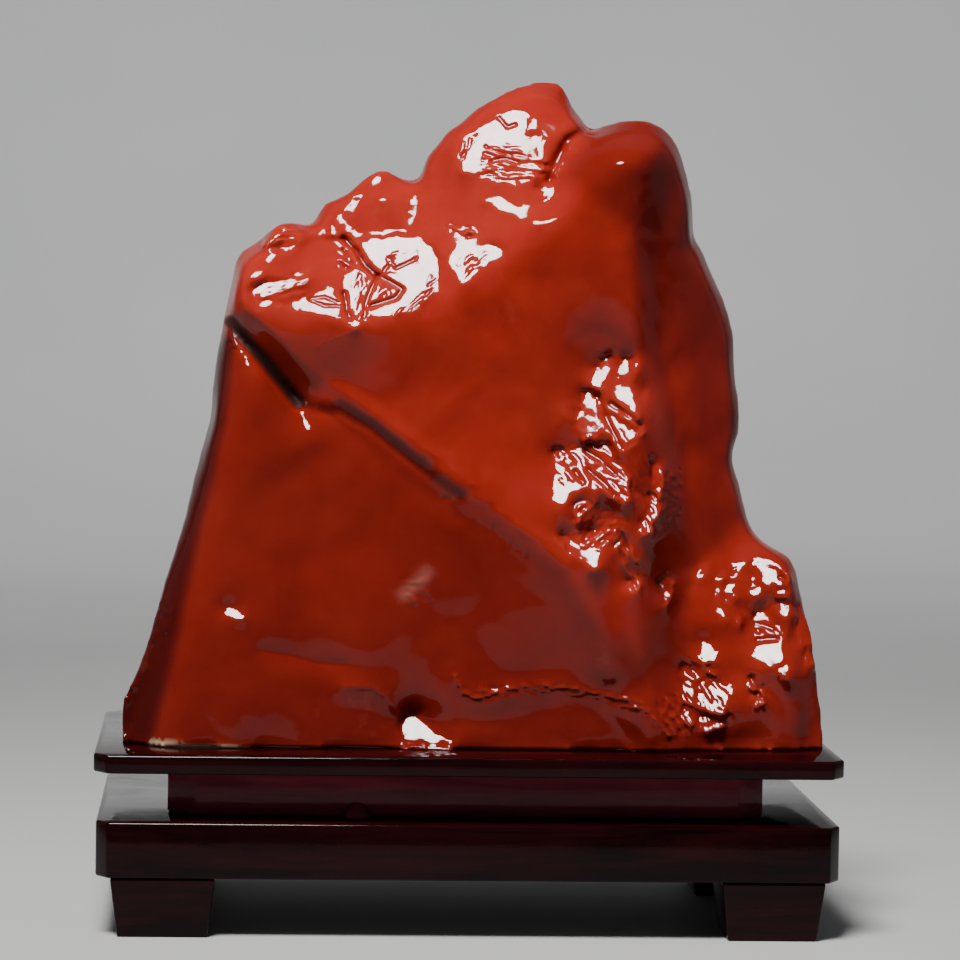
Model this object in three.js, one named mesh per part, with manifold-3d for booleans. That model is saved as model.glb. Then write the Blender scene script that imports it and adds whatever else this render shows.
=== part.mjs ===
// A polished shoushan stone standing on its lacquered wooden stand.
// Millimetres. X runs along the stand, Y from front to back, Z up.
// The origin is on the surface the feet stand on, under the middle of the stand.
import * as THREE from "three";
import { mergeVertices } from "three/addons/utils/BufferGeometryUtils.js";
import Module from "manifold-3d";

const wasm = await Module();
wasm.setup();

// Driving dimensions of the stand
const STAND_LENGTH = 201;
const STAND_DEPTH = 110;
const FOOT_HEIGHT = 16;
const BOARD_HEIGHT = 15;
const WAIST_HEIGHT = 13;
const PLATE_HEIGHT = 5;
const BOARD_SETBACK = 0.75;
const WAIST_SETBACK = { end: 19.5, front: 16.5 };
const PLATE_CORNER = { along: 3.5, across: 5 };
const BOARD_CORNER = { along: 3.25, across: 5 };
const WAIST_CORNER = { along: 7.5, across: 7 };
const EDGE_EASE = 0.5;

const FOOT_TOP = 28;
const FOOT_SOLE = 24;
const FOOT_SETBACK = { end: 4.75, front: 1.25 };

// A drip of lacquer that set against the foot of the waist
const DRIP = { x: -30, radius: 3.8 };

// Driving dimensions of the stone
const RINGS = 28;
const HUB = { x: -20, z: 60 };
const FRONT_ROUNDING = 6;
const BACK_ROUNDING = 30;
const RIM_WANDER = 4;
const BELOW_FOOT = -14;

const BOARD_TOP = FOOT_HEIGHT + BOARD_HEIGHT;
const WAIST_TOP = BOARD_TOP + WAIST_HEIGHT;
const STAND_TOP = WAIST_TOP + PLATE_HEIGHT;

// The stone's outline seen from the front, clockwise from its left foot.
// Each point is x, height above the stone's foot, and y of the rim there.
const OUTLINE = [
  [-95, BELOW_FOOT, -33],
  [-94.6, 0, -31],
  [-94.5, 10, -29],
  [-90, 19.5, -27],
  [-87.5, 27, -25],
  [-82.5, 45, -21],
  [-78, 60, -18],
  [-73.5, 80, -14],
  [-71, 88, -13],
  [-70.5, 100, -13],
  [-67.5, 117.5, -13],
  [-65, 130, -13],
  [-64, 134.2, -12],
  [-58.2, 136.5, -11],
  [-56.5, 139.3, -12],
  [-53, 141.8, -12],
  [-49.8, 142.7, -12],
  [-47, 142.2, -11],
  [-45.3, 140.8, -9],
  [-43.4, 141, -7],
  [-42.2, 144.7, -6],
  [-41, 147.8, -6],
  [-34, 150, -8],
  [-31, 154, -9],
  [-25.6, 157.5, -9],
  [-21.7, 156.7, -7],
  [-18.4, 154.3, -4],
  [-13.7, 153.8, -2],
  [-12.8, 160.5, -4],
  [-9, 165, -6],
  [-7.3, 168.4, -5],
  [-3, 170.5, -4],
  [0.2, 174.2, -4],
  [5.4, 177.3, -5],
  [10, 180, -5],
  [17, 182.4, -3],
  [24, 182.7, -2],
  [26.4, 181.4, -1],
  [28.5, 174.7, 0],
  [32.4, 172.2, 1],
  [31.3, 169.2, 2],
  [31, 167.4, 0],
  [34.8, 169.9, -3],
  [40.4, 171.9, -6],
  [46.2, 172.6, -8],
  [50.7, 171.8, -8],
  [54.7, 169, -7],
  [57.6, 165.8, -5],
  [61, 156, -3],
  [62.4, 150.6, -1],
  [63, 139, 1],
  [65.4, 138, 3],
  [67, 133.3, 3],
  [70, 127.8, 5],
  [74.2, 119.4, 7],
  [76, 112, 7],
  [76, 105, 7],
  [77.5, 89, 3],
  [77, 84.6, 2],
  [74.6, 80.7, 1],
  [75.2, 76.5, 1],
  [77.2, 71, 0],
  [80, 58.6, -2],
  [84.6, 54.6, -8],
  [90, 52.6, -11],
  [91.5, 50, -12],
  [93.8, 38.3, -15],
  [96, 23.7, -19],
  [98.3, 9.5, -23],
  [98.7, 0, -25],
  [99.5, BELOW_FOOT, -27],
  [60, BELOW_FOOT, 0],
  [20, BELOW_FOOT, 0],
  [-20, BELOW_FOOT, 0],
  [-60, BELOW_FOOT, 0],
];

// A flat face of the stone: its y at a point, and how y changes along x and with height.
const face = (x, z, y, alongX, withHeight) => (px, pz) =>
  y + (px - x) * alongX + (pz - z) * withHeight;

// Faces of the front. Larger y lies deeper in the stone.
const SHOULDER = face(-9, 118, -33, 0.08, 0.8);
const SUMMIT = face(-9, 121, -33, -0.45, 0.6);
const BELLY = face(-9, 121, -34.5, 0.05, 0.03);
const HEAD = face(40, 160, -31, 0.2, 1.5);
const RIGHT_CHEEK = face(45, 100, -32, 1.05, 0.08);
const LEDGE_UNDERSIDE = face(-65, 115, -35, -0.7, -0.98);
const LEDGE_END = face(24, 51, -34, -1.1, -0.5);
const LOWER_FRONT = face(0, 0, -33.8, 0.045, 0.025);
const LOWER_RIGHT = face(52, 40, -29, 0.55, 0.25);
const LEFT_CHEEK = face(-85, 0, -34, -1, 0.25);
const BLOCK_FRONT = face(80, 0, -28.5, 0.05, 0.06);
const BLOCK_TOP = face(80, 44, -30, -0.3, 1.3);
const BLOCK_INNER = face(63, 20, -29, -1, -0.1);
const BLOCK_OUTER = face(92, 0, -28, 1.5, 0.12);

// Faces of the back
const BACK_FOOT = face(0, 0, 36, 0.06, -0.1);
const BACK_UPPER = face(0, 100, 25, -0.05, -0.24);
const BACK_LEFT = face(-50, 60, 28, 0.62, -0.1);
const BACK_RIGHT = face(48, 60, 30, -0.52, 0.04);
const BACK_HOLLOW = face(10, 70, 25, 0.22, 0.15);
const BACK_SHELF = face(-10, 46, 31, 0.1, -0.45);

// Hollows and lines worked into the front: points as x and height, width across, and
// rise towards the viewer, which is negative for a groove.
const FRONT_LINES = [
  { name: "black groove", points: [[-67, 117], [-56, 106], [-47, 93]], width: 3.6, rise: -6 },
  { name: "crease", points: [[-38, 92], [-25, 85], [-6, 70], [24, 50]], width: 3.5, rise: -1.4 },
  { name: "lip over crease", points: [[-34, 98], [-25, 92], [-8, 79], [4, 70]], width: 4.5, rise: 0.6 },
  { name: "side flute", points: [[48, 140], [52, 106], [58, 80], [60, 40]], width: 4.5, rise: -3 },
  { name: "notch cleft", points: [[31, 168], [24, 160], [20, 150]], width: 4, rise: -5 },
  { name: "shoulder cross", points: [[-36, 140], [-22, 128]], width: 4, rise: -1.6 },
  {
    name: "foot step",
    points: [[-4, 19], [3, 13], [14, 16], [25, 17], [47, 13], [54, 5]],
    width: 3,
    rise: 1.2,
  },
  { name: "low crease", points: [[-56, 26], [-33, 22]], width: 3, rise: -0.8 },
  { name: "low ridge", points: [[-33, 17], [-22, 15], [-18, 7]], width: 3, rise: 0.8 },
  { name: "temple ridge", points: [[47, 168], [47, 139], [45, 103]], width: 5, rise: 1.2 },
];

// Lumps and pits of the front: x, height, radius, rise towards the viewer.
const FRONT_SPOTS = [
  [-52, 137, 6, 4],
  [-25, 150, 8, 4],
  [4, 166, 12, 5],
  [46, 158, 10, 3],
  [-62, 128, 7, 2],
  [34, 104, 5, -3.4],
  [41, 96, 4.5, -3],
  [26, 80, 5, -3.6],
  [36, 74, 5, -3.6],
  [33, 62, 6, -5],
  [46, 70, 4.5, -3.4],
  [50, 56, 3.5, -2],
  [42, 50, 4, -2],
  [40, 87, 5, 2],
  [28, 92, 5, 1.5],
  [70, 44, 4, 2.6],
  [78, 34, 5, -2.4],
  [86, 36, 5, 2.2],
  [64, 22, 5, 2.6],
  [72, 12, 5, 2],
  [82, 16, 5, -1.8],
  [-40, 60, 22, -2.5],
  [-60, 12, 12, 1.5],
];

const BACK_LINES = [
  { name: "back cleft", points: [[40, 160], [28, 120], [34, 84], [12, 52]], width: 6, rise: -5 },
  { name: "back seam", points: [[-62, 96], [-30, 84], [6, 96]], width: 5, rise: -3.5 },
];

const BACK_SPOTS = [
  [-40, 118, 16, 5],
  [50, 120, 14, 4],
  [-60, 30, 18, 5],
  [62, 28, 16, 4],
  [0, 20, 18, -4],
  [14, 150, 10, 3],
];

// Two depths joined by a rounded edge, and by a rounded valley.
function roundedMax(a, b, radius) {
  const near = Math.max(radius - Math.abs(a - b), 0) / radius;
  return Math.max(a, b) + (near * near * radius) / 4;
}

const roundedMin = (a, b, radius) => -roundedMax(-a, -b, radius);

function faces(list, join, radius) {
  return (x, z) =>
    list.map((f) => f(x, z)).reduce((a, b) => join(a, b, radius));
}

function distanceToLine(points, x, z) {
  let nearest = Infinity;
  for (let i = 1; i < points.length; i++) {
    const [ax, az] = points[i - 1];
    const [bx, bz] = points[i];
    const run = [bx - ax, bz - az];
    const along = ((x - ax) * run[0] + (z - az) * run[1]) / (run[0] ** 2 + run[1] ** 2);
    const t = THREE.MathUtils.clamp(along, 0, 1);
    nearest = Math.min(nearest, Math.hypot(x - ax - t * run[0], z - az - t * run[1]));
  }
  return nearest;
}

const swell = (distance, width) => Math.exp(-((distance / width) ** 2));

function relief(lines, spots, x, z) {
  let rise = 0;
  for (const line of lines)
    rise += line.rise * swell(distanceToLine(line.points, x, z), line.width);
  for (const [sx, sz, radius, height] of spots)
    rise += height * swell(Math.hypot(x - sx, z - sz), radius);
  return rise;
}

// Shallow natural facets: the surface dips towards the borders between seeds.
function facetSeeds(count, seed) {
  let state = seed;
  const next = () => {
    state = (state * 1103515245 + 12345) % 2147483648;
    return state / 2147483648;
  };
  return Array.from({ length: count }, () => [next() * 200 - 100, next() * 190]);
}

const SEEDS = facetSeeds(90, 20);

function facetting(x, z) {
  let first = Infinity;
  let second = Infinity;
  for (const [sx, sz] of SEEDS) {
    const d = Math.hypot(x - sx, z - sz);
    if (d < first) {
      second = first;
      first = d;
    } else if (d < second) {
      second = d;
    }
  }
  return Math.min((second - first) / 10, 1);
}

// How widely the faces of each mass round into one another.
const ROUNDING = { shoulders: 4, ledge: 6, upper: 3.5, lower: 3, block: 5, front: 3.5, back: 6 };
const FACET_RISE = { front: 0.5, back: 1.4 };

const SHOULDERS = faces([SHOULDER, SUMMIT], roundedMin, ROUNDING.shoulders);
const LEDGE = faces([LEDGE_UNDERSIDE, LEDGE_END], roundedMin, ROUNDING.ledge);
const UPPER_MASS = faces([SHOULDERS, BELLY, HEAD, RIGHT_CHEEK, LEDGE], roundedMax, ROUNDING.upper);
const LOWER_MASS = faces(
  [LOWER_FRONT, LOWER_RIGHT, LEFT_CHEEK, SHOULDERS],
  roundedMax,
  ROUNDING.lower,
);
const RIGHT_BLOCK = faces(
  [BLOCK_FRONT, BLOCK_TOP, BLOCK_INNER, BLOCK_OUTER],
  roundedMax,
  ROUNDING.block,
);
const FRONT = faces([UPPER_MASS, LOWER_MASS, RIGHT_BLOCK], roundedMin, ROUNDING.front);
const BACK_MASS = faces([BACK_FOOT, BACK_UPPER, BACK_LEFT, BACK_RIGHT], roundedMin, ROUNDING.back);
const BACK_CUTS = faces([BACK_HOLLOW, BACK_SHELF], roundedMax, ROUNDING.back);
const BACK = faces([BACK_MASS, BACK_CUTS], roundedMin, ROUNDING.back);

function frontDepth(x, z) {
  const risen = relief(FRONT_LINES, FRONT_SPOTS, x, z) + FACET_RISE.front * facetting(x, z);
  return FRONT(x, z) - risen;
}

// The back's facets are laid out of step with the front's.
function backDepth(x, z) {
  const facets = FACET_RISE.back * facetting(x + 37, z + 11);
  return BACK(x, z) + relief(BACK_LINES, BACK_SPOTS, x, z) + facets;
}

// A point of the outline for a share of the way round. Short stretches get a fuller share,
// so that the small steps along the top keep their corners.
const SHORT_STRETCH = 4;
const stretches = OUTLINE.map((p, i) => {
  const q = OUTLINE[(i + 1) % OUTLINE.length];
  return Math.hypot(q[0] - p[0], q[1] - p[1]) + SHORT_STRETCH;
});
const wholeWay = stretches.reduce((a, b) => a + b);

function rimPoint(share) {
  let left = (share % 1) * wholeWay;
  let i = 0;
  while (left > stretches[i]) left -= stretches[i++];
  const p = OUTLINE[i];
  const q = OUTLINE[(i + 1) % OUTLINE.length];
  const t = left / stretches[i];
  return p.map((value, k) => value + (q[k] - value) * t);
}

// The rim with its small steps evened out, which the faces behind it take up.
const EVENING_STEPS = [-3, -2, -1, 0, 1, 2, 3];
const EVENING_SHARE = 0.008;
const EVENING_FADE = 6;

function evenRimPoint(share) {
  const near = EVENING_STEPS.map((step) => rimPoint(1 + share + step * EVENING_SHARE));
  return [0, 1, 2].map((k) => near.reduce((sum, p) => sum + p[k], 0) / near.length);
}

// One side of the stone at a share of the way from hub to rim.
function sidePoint(share, out, depthAt, rounding) {
  const even = evenRimPoint(share);
  const own = rimPoint(share);
  const [rx, rz, ry] = own.map((value, k) => even[k] + (value - even[k]) * out ** EVENING_FADE);
  const x = HUB.x + (rx - HUB.x) * out;
  const z = HUB.z + (rz - HUB.z) * out;
  const inward = Math.hypot(rx - HUB.x, rz - HUB.z) * (1 - out);
  const wander = 1 + (RIM_WANDER * (facetting(x - 50, z + 23) - 0.5)) / rounding;
  const t = 1 - Math.min(inward / (rounding * wander), 1);
  const fullness = Math.sqrt(1 - t * t);
  return [x, ry + (depthAt(x, z) - ry) * fullness, z];
}

function stoneGeometry() {
  const positions = [];
  const index = [];
  const ringStart = (ring) => (ring === 0 ? 0 : 1 + 3 * ring * (ring - 1));

  const addSide = (depthAt, rounding, lastRing) => {
    const base = positions.length / 3;
    for (let ring = 0; ring <= lastRing; ring++) {
      const count = Math.max(6 * ring, 1);
      for (let j = 0; j < count; j++)
        positions.push(...sidePoint(j / count, ring / RINGS, depthAt, rounding));
    }
    return base;
  };
  const frontBase = addSide(frontDepth, FRONT_ROUNDING, RINGS);
  const backBase = addSide(backDepth, BACK_ROUNDING, RINGS - 1);

  const join = (base, flip) => {
    const at = (ring, j) => {
      const own = ringStart(ring) + (ring === 0 ? 0 : j % (6 * ring));
      return ring === RINGS ? frontBase + own : base + own;
    };
    const triangle = (a, b, c) => index.push(...(flip ? [a, c, b] : [a, b, c]));
    for (let ring = 1; ring <= RINGS; ring++)
      for (let sector = 0; sector < 6; sector++)
        for (let i = 0; i < ring; i++) {
          const outer = sector * ring + i;
          const inner = sector * (ring - 1) + i;
          triangle(at(ring, outer), at(ring - 1, inner), at(ring, outer + 1));
          if (i < ring - 1)
            triangle(at(ring, outer + 1), at(ring - 1, inner), at(ring - 1, inner + 1));
        }
  };
  join(frontBase, false);
  join(backBase, true);

  const geometry = new THREE.BufferGeometry();
  geometry.setAttribute("position", new THREE.Float32BufferAttribute(positions, 3));
  geometry.setIndex(index);
  return geometry;
}

// Between three.js geometry and a solid for cutting and joining
function solid(geometry) {
  const bare = geometry.clone();
  bare.deleteAttribute("normal");
  bare.deleteAttribute("uv");
  const merged = mergeVertices(bare, 1e-4);
  return new wasm.Manifold(
    new wasm.Mesh({
      numProp: 3,
      vertProperties: merged.attributes.position.array,
      triVerts: new Uint32Array(merged.index.array),
    }),
  );
}

function geometryOf(made) {
  const mesh = made.getMesh();
  const geometry = new THREE.BufferGeometry();
  geometry.setAttribute("position", new THREE.BufferAttribute(mesh.vertProperties, 3));
  geometry.setIndex(new THREE.BufferAttribute(mesh.triVerts, 1));
  return geometry;
}

const block = (length, depth, height, x, y, z) =>
  new THREE.BoxGeometry(length, depth, height).translate(x, y, z);

// The stone is sawn flat underneath, and its cut lies at height 0 of its own group.
function sawnStone() {
  const waste = solid(block(300, 300, 60, 0, 0, -30));
  const geometry = geometryOf(solid(stoneGeometry()).subtract(waste));
  const position = geometry.attributes.position;
  for (let i = 0; i < position.count; i++)
    if (Math.abs(position.getZ(i)) < 0.02) position.setZ(i, 0);
  return geometry;
}

// A rectangle in plan with its four corners cut, eased along its top and bottom edges.
function cutCornerSlab(length, depth, height, corner) {
  const l = length / 2;
  const d = depth / 2;
  const plan = new THREE.Shape(
    [
      [-l + corner.along, -d],
      [l - corner.along, -d],
      [l, -d + corner.across],
      [l, d - corner.across],
      [l - corner.along, d],
      [-l + corner.along, d],
      [-l, d - corner.across],
      [-l, -d + corner.across],
    ].map(([x, y]) => new THREE.Vector2(x, y)),
  );
  return new THREE.ExtrudeGeometry(plan, {
    depth: height - 2 * EDGE_EASE,
    bevelThickness: EDGE_EASE,
    bevelSize: EDGE_EASE,
    bevelOffset: -EDGE_EASE,
    bevelSegments: 1,
  }).translate(0, 0, EDGE_EASE);
}

function waistWithDrip() {
  const depth = STAND_DEPTH - 2 * WAIST_SETBACK.front;
  const waist = cutCornerSlab(
    STAND_LENGTH - 2 * WAIST_SETBACK.end,
    depth,
    WAIST_HEIGHT,
    WAIST_CORNER,
  );
  const drop = new THREE.SphereGeometry(DRIP.radius, 20, 12).translate(DRIP.x, -depth / 2, 0);
  const below = block(20, 20, 20, DRIP.x, -depth / 2, -10);
  return geometryOf(solid(waist).add(solid(drop).subtract(solid(below))));
}

// A square foot, narrower at its sole.
function footGeometry() {
  const foot = block(FOOT_TOP, FOOT_TOP, FOOT_HEIGHT, 0, 0, FOOT_HEIGHT / 2);
  const position = foot.attributes.position;
  for (let i = 0; i < position.count; i++)
    if (position.getZ(i) === 0) {
      position.setX(i, (position.getX(i) * FOOT_SOLE) / FOOT_TOP);
      position.setY(i, (position.getY(i) * FOOT_SOLE) / FOOT_TOP);
    }
  return foot;
}

const lacquer = (color) =>
  new THREE.MeshStandardMaterial({ color, roughness: 0.25, metalness: 0 });

const redStone = new THREE.MeshStandardMaterial({
  color: 0x9c2310,
  roughness: 0.15,
  metalness: 0,
});

function piece(name, geometry, material, x, y, z) {
  const mesh = new THREE.Mesh(geometry, material);
  mesh.name = name;
  mesh.position.set(x, y, z);
  return mesh;
}

function buildStand() {
  const stand = new THREE.Group();
  const footX = STAND_LENGTH / 2 - FOOT_SETBACK.end - FOOT_TOP / 2;
  const footY = STAND_DEPTH / 2 - FOOT_SETBACK.front - FOOT_TOP / 2;
  for (const [side, x] of [["left", -footX], ["right", footX]])
    for (const [end, y] of [["front", -footY], ["back", footY]])
      stand.add(piece(`foot_${end}_${side}`, footGeometry(), lacquer(0x2a0c0c), x, y, 0));
  const board = cutCornerSlab(
    STAND_LENGTH - 2 * BOARD_SETBACK,
    STAND_DEPTH - 2 * BOARD_SETBACK,
    BOARD_HEIGHT,
    BOARD_CORNER,
  );
  const plate = cutCornerSlab(STAND_LENGTH, STAND_DEPTH, PLATE_HEIGHT, PLATE_CORNER);
  stand.add(piece("lower_board", board, lacquer(0x2a0c0c), 0, 0, FOOT_HEIGHT));
  stand.add(piece("waist", waistWithDrip(), lacquer(0x3a1214), 0, 0, BOARD_TOP));
  stand.add(piece("top_plate", plate, lacquer(0x240a0a), 0, 0, WAIST_TOP));
  return stand;
}

const group = new THREE.Group();
group.add(buildStand());
group.add(piece("stone", sawnStone(), redStone, 0, 0, STAND_TOP));

export default group;
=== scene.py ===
"""A polished red shoushan stone on its lacquered wooden stand: finish, light and camera."""
import math

import bmesh
import bpy
import numpy as np
from mathutils import Matrix, Vector, noise


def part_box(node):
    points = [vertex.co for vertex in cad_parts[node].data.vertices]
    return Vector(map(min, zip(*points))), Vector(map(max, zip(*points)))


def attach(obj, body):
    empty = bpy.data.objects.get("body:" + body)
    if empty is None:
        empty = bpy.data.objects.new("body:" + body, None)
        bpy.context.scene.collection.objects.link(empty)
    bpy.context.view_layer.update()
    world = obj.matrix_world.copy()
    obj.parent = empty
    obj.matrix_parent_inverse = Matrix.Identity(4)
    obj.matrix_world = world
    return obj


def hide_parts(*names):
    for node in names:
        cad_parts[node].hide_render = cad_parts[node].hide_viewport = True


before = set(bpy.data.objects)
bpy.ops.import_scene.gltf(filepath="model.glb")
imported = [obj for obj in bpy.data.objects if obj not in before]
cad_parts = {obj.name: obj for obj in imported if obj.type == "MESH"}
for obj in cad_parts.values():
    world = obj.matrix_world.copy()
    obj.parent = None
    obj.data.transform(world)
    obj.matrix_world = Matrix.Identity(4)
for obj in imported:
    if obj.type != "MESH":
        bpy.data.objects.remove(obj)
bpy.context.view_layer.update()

MM = 0.001
STAND_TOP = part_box("top_plate")[1].z
FRONT_OF_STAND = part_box("top_plate")[0].y

# The camera's place in front of the stand, and how it is turned
CAMERA_PLACE = Vector((-0.06487, FRONT_OF_STAND - 1.09883, 0.18153))
CAMERA_TURN = math.radians(3.4225)
CAMERA_DIP = math.radians(3.0315)
CAMERA_ROLL = math.radians(0.956)
CAMERA_LENS = 155.97
CAMERA_SENSOR = 36.0
PHOTO_SIZE = 960

# The softbox whose mirror image makes the white patches on the stone
KEY_PLACE = Vector((-0.26, -0.62, 1.36))
KEY_SIZE = (0.45, 0.35)
KEY_POWER = 8.3
LIGHT_SPREAD = math.radians(70)
KEY_COLOR = (1, 0.985, 0.97)
KEY_AIM = Vector((0.0, 0.0, 0.15))

# A wide light for the backdrop, and the faint light of the room
BACK_LIGHT_PLACE = Vector((0, 0.7, 2.2))
BACK_LIGHT_SIZE = (2.4, 0.6)
BACK_LIGHT_POWER = 16.0
BACK_LIGHT_AIM = Vector((0, 1.8, 0.2))
WHITE = (1, 1, 1)
ROOM_COLOR = (0.92, 0.94, 1.0, 1)
ROOM_STRENGTH = 0.16

# The stone's mesh, in millimetres
VOXEL = 1.5
FOOT_BAND = 0.9
SOLE_BAND = 0.35
PIXEL = 0.27

# How often and how much the mesh is evened out, and how near the marks it is made finer
EVENING_ROUNDS = 12
RIM_EVENING_ROUNDS = 8
FINE_EVENING_ROUNDS = 4
SHRINKING = 0.5
SWELLING = -0.52
FINE_REACHES = (4.0, 1.2)
FINE_MARGIN = 2
SEED = 11


def camera_axes():
    turn, dip, roll = CAMERA_TURN, CAMERA_DIP, CAMERA_ROLL
    level = Vector((math.sin(turn), math.cos(turn), 0))
    across = Vector((math.cos(turn), -math.sin(turn), 0))
    ahead = level * math.cos(dip) - Vector((0, 0, math.sin(dip)))
    upward = level * math.sin(dip) + Vector((0, 0, math.cos(dip)))
    right = across * math.cos(roll) + upward * math.sin(roll)
    up = upward * math.cos(roll) - across * math.sin(roll)
    return right, up, ahead


def put_camera():
    right, up, ahead = camera_axes()
    camera = bpy.data.objects.new("camera", bpy.data.cameras.new("camera"))
    camera.data.lens = CAMERA_LENS
    camera.data.sensor_width = CAMERA_SENSOR
    camera.data.clip_end = 20
    columns = Matrix((right, up, -ahead)).transposed()
    camera.matrix_world = Matrix.Translation(CAMERA_PLACE) @ columns.to_4x4()
    bpy.context.scene.collection.objects.link(camera)
    bpy.context.scene.camera = camera


def area_light(name, place, size, power, aim, color):
    data = bpy.data.lights.new(name, "AREA")
    data.shape = "RECTANGLE"
    data.size, data.size_y = size
    data.energy = power
    data.spread = LIGHT_SPREAD
    data.color = color
    light = bpy.data.objects.new(name, data)
    turn = (place - aim).to_track_quat("Z", "Y")
    light.matrix_world = Matrix.Translation(place) @ turn.to_matrix().to_4x4()
    bpy.context.scene.collection.objects.link(light)


def put_lights():
    area_light("softbox", KEY_PLACE, KEY_SIZE, KEY_POWER, KEY_AIM, KEY_COLOR)
    area_light(
        "back_light", BACK_LIGHT_PLACE, BACK_LIGHT_SIZE, BACK_LIGHT_POWER, BACK_LIGHT_AIM, WHITE
    )
    world = bpy.data.worlds.new("studio")
    world.use_nodes = True
    background = world.node_tree.nodes["Background"]
    background.inputs["Color"].default_value = ROOM_COLOR
    background.inputs["Strength"].default_value = ROOM_STRENGTH
    bpy.context.scene.world = world


def new_object(name, bm):
    mesh = bpy.data.meshes.new(name)
    bm.to_mesh(mesh)
    bm.free()
    obj = bpy.data.objects.new(name, mesh)
    bpy.context.scene.collection.objects.link(obj)
    return obj


def smooth_shading(obj, angle=None):
    obj.data.polygons.foreach_set("use_smooth", [True] * len(obj.data.polygons))
    if angle is not None:
        obj.data.set_sharp_from_angle(angle=angle)


def finish_piece(piece, material, slot, *nodes):
    piece.data.materials.append(material)
    if nodes:
        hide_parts(*nodes)
    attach(piece, "root")


# Short ways to add and join nodes
def add(tree, kind, **settings):
    node = tree.nodes.new(kind)
    for key, value in settings.items():
        setattr(node, key, value)
    return node


def feed(tree, socket, value):
    if isinstance(value, bpy.types.NodeSocket):
        tree.links.new(value, socket)
    elif isinstance(value, tuple) and len(value) == 3 and len(socket.default_value) == 4:
        socket.default_value = (*value, 1)
    else:
        socket.default_value = value


def calculate(tree, operation, *values):
    node = add(tree, "ShaderNodeMath", operation=operation)
    for socket, value in zip(node.inputs, values):
        feed(tree, socket, value)
    return node.outputs[0]


def spread(tree, value, low, high, to_low=0.0, to_high=1.0):
    node = add(tree, "ShaderNodeMapRange", clamp=True)
    for socket, number in zip(node.inputs, (value, low, high, to_low, to_high)):
        feed(tree, socket, number)
    return node.outputs["Result"]


def mottle(tree, place, scale, detail=3.0, roughness=0.5, distortion=0.0):
    node = add(tree, "ShaderNodeTexNoise")
    for name, value in (
        ("Vector", place),
        ("Scale", scale),
        ("Detail", detail),
        ("Roughness", roughness),
        ("Distortion", distortion),
    ):
        feed(tree, node.inputs[name], value)
    return node.outputs["Fac"]


def ramp(tree, value, *stops):
    node = add(tree, "ShaderNodeValToRGB")
    elements = node.color_ramp.elements
    while len(elements) < len(stops):
        elements.new(0.5)
    for element, (position, color) in zip(elements, stops):
        element.position = position
        element.color = (*color, 1)
    feed(tree, node.inputs["Fac"], value)
    return node.outputs["Color"]


def blend(tree, share, first, second):
    node = add(tree, "ShaderNodeMix", data_type="RGBA")
    sockets = [socket for socket in node.inputs if socket.enabled]
    for socket, value in zip(sockets, (share, first, second)):
        feed(tree, socket, value)
    return next(socket for socket in node.outputs if socket.enabled)


def bump(tree, height, strength, distance):
    node = add(tree, "ShaderNodeBump")
    feed(tree, node.inputs["Strength"], strength)
    feed(tree, node.inputs["Distance"], distance)
    feed(tree, node.inputs["Height"], height)
    return node.outputs["Normal"]


def painted(tree, name):
    return add(tree, "ShaderNodeAttribute", attribute_name=name).outputs["Fac"]


def new_material(name):
    material = bpy.data.materials.new(name)
    material.use_nodes = True
    tree = material.node_tree
    place = add(tree, "ShaderNodeTexCoord").outputs["Object"]
    return material, tree, tree.nodes["Principled BSDF"], place


def new_group(name, inputs, outputs):
    group = bpy.data.node_groups.new(name, "ShaderNodeTree")
    for side, sockets in (("INPUT", inputs), ("OUTPUT", outputs)):
        for socket, kind in sockets:
            group.interface.new_socket(name=socket, in_out=side, socket_type=kind)
    entry = group.nodes.new("NodeGroupInput")
    leave = group.nodes.new("NodeGroupOutput")
    return group, entry.outputs, leave.inputs


def use_group(tree, group, **values):
    node = add(tree, "ShaderNodeGroup", node_tree=group)
    for name, value in values.items():
        feed(tree, node.inputs[name], value)
    return node.outputs


def hand_polish_group():
    """Waves left by polishing, and smears where the gloss is duller."""
    group, given, out = new_group(
        "hand_polish",
        [("Place", "NodeSocketVector"), ("Scale", "NodeSocketFloat")],
        [("Waves", "NodeSocketFloat"), ("Smears", "NodeSocketFloat")],
    )
    broad = mottle(group, given["Place"], given["Scale"], 2.0, 0.45)
    fine_scale = calculate(group, "MULTIPLY", given["Scale"], 5.0)
    fine = mottle(group, given["Place"], fine_scale, 3.0, 0.6)
    waves = calculate(group, "MULTIPLY_ADD", fine, 0.22, broad)
    smears = mottle(group, given["Place"], given["Scale"], 5.0, 0.7, 1.2)
    feed(group, out["Waves"], waves)
    feed(group, out["Smears"], spread(group, smears, 0.4, 0.72))
    return group


def wood_grain_group():
    """Long streaks of grain, as a mask."""
    group, given, out = new_group(
        "wood_grain",
        [("Place", "NodeSocketVector"), ("Stretch", "NodeSocketVector")],
        [("Streaks", "NodeSocketFloat")],
    )
    stretch = add(group, "ShaderNodeVectorMath", operation="MULTIPLY")
    feed(group, stretch.inputs[0], given["Place"])
    feed(group, stretch.inputs[1], given["Stretch"])
    streaks = mottle(group, stretch.outputs["Vector"], 1.0, 6.0, 0.62, 0.8)
    feed(group, out["Streaks"], streaks)
    return group


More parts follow.
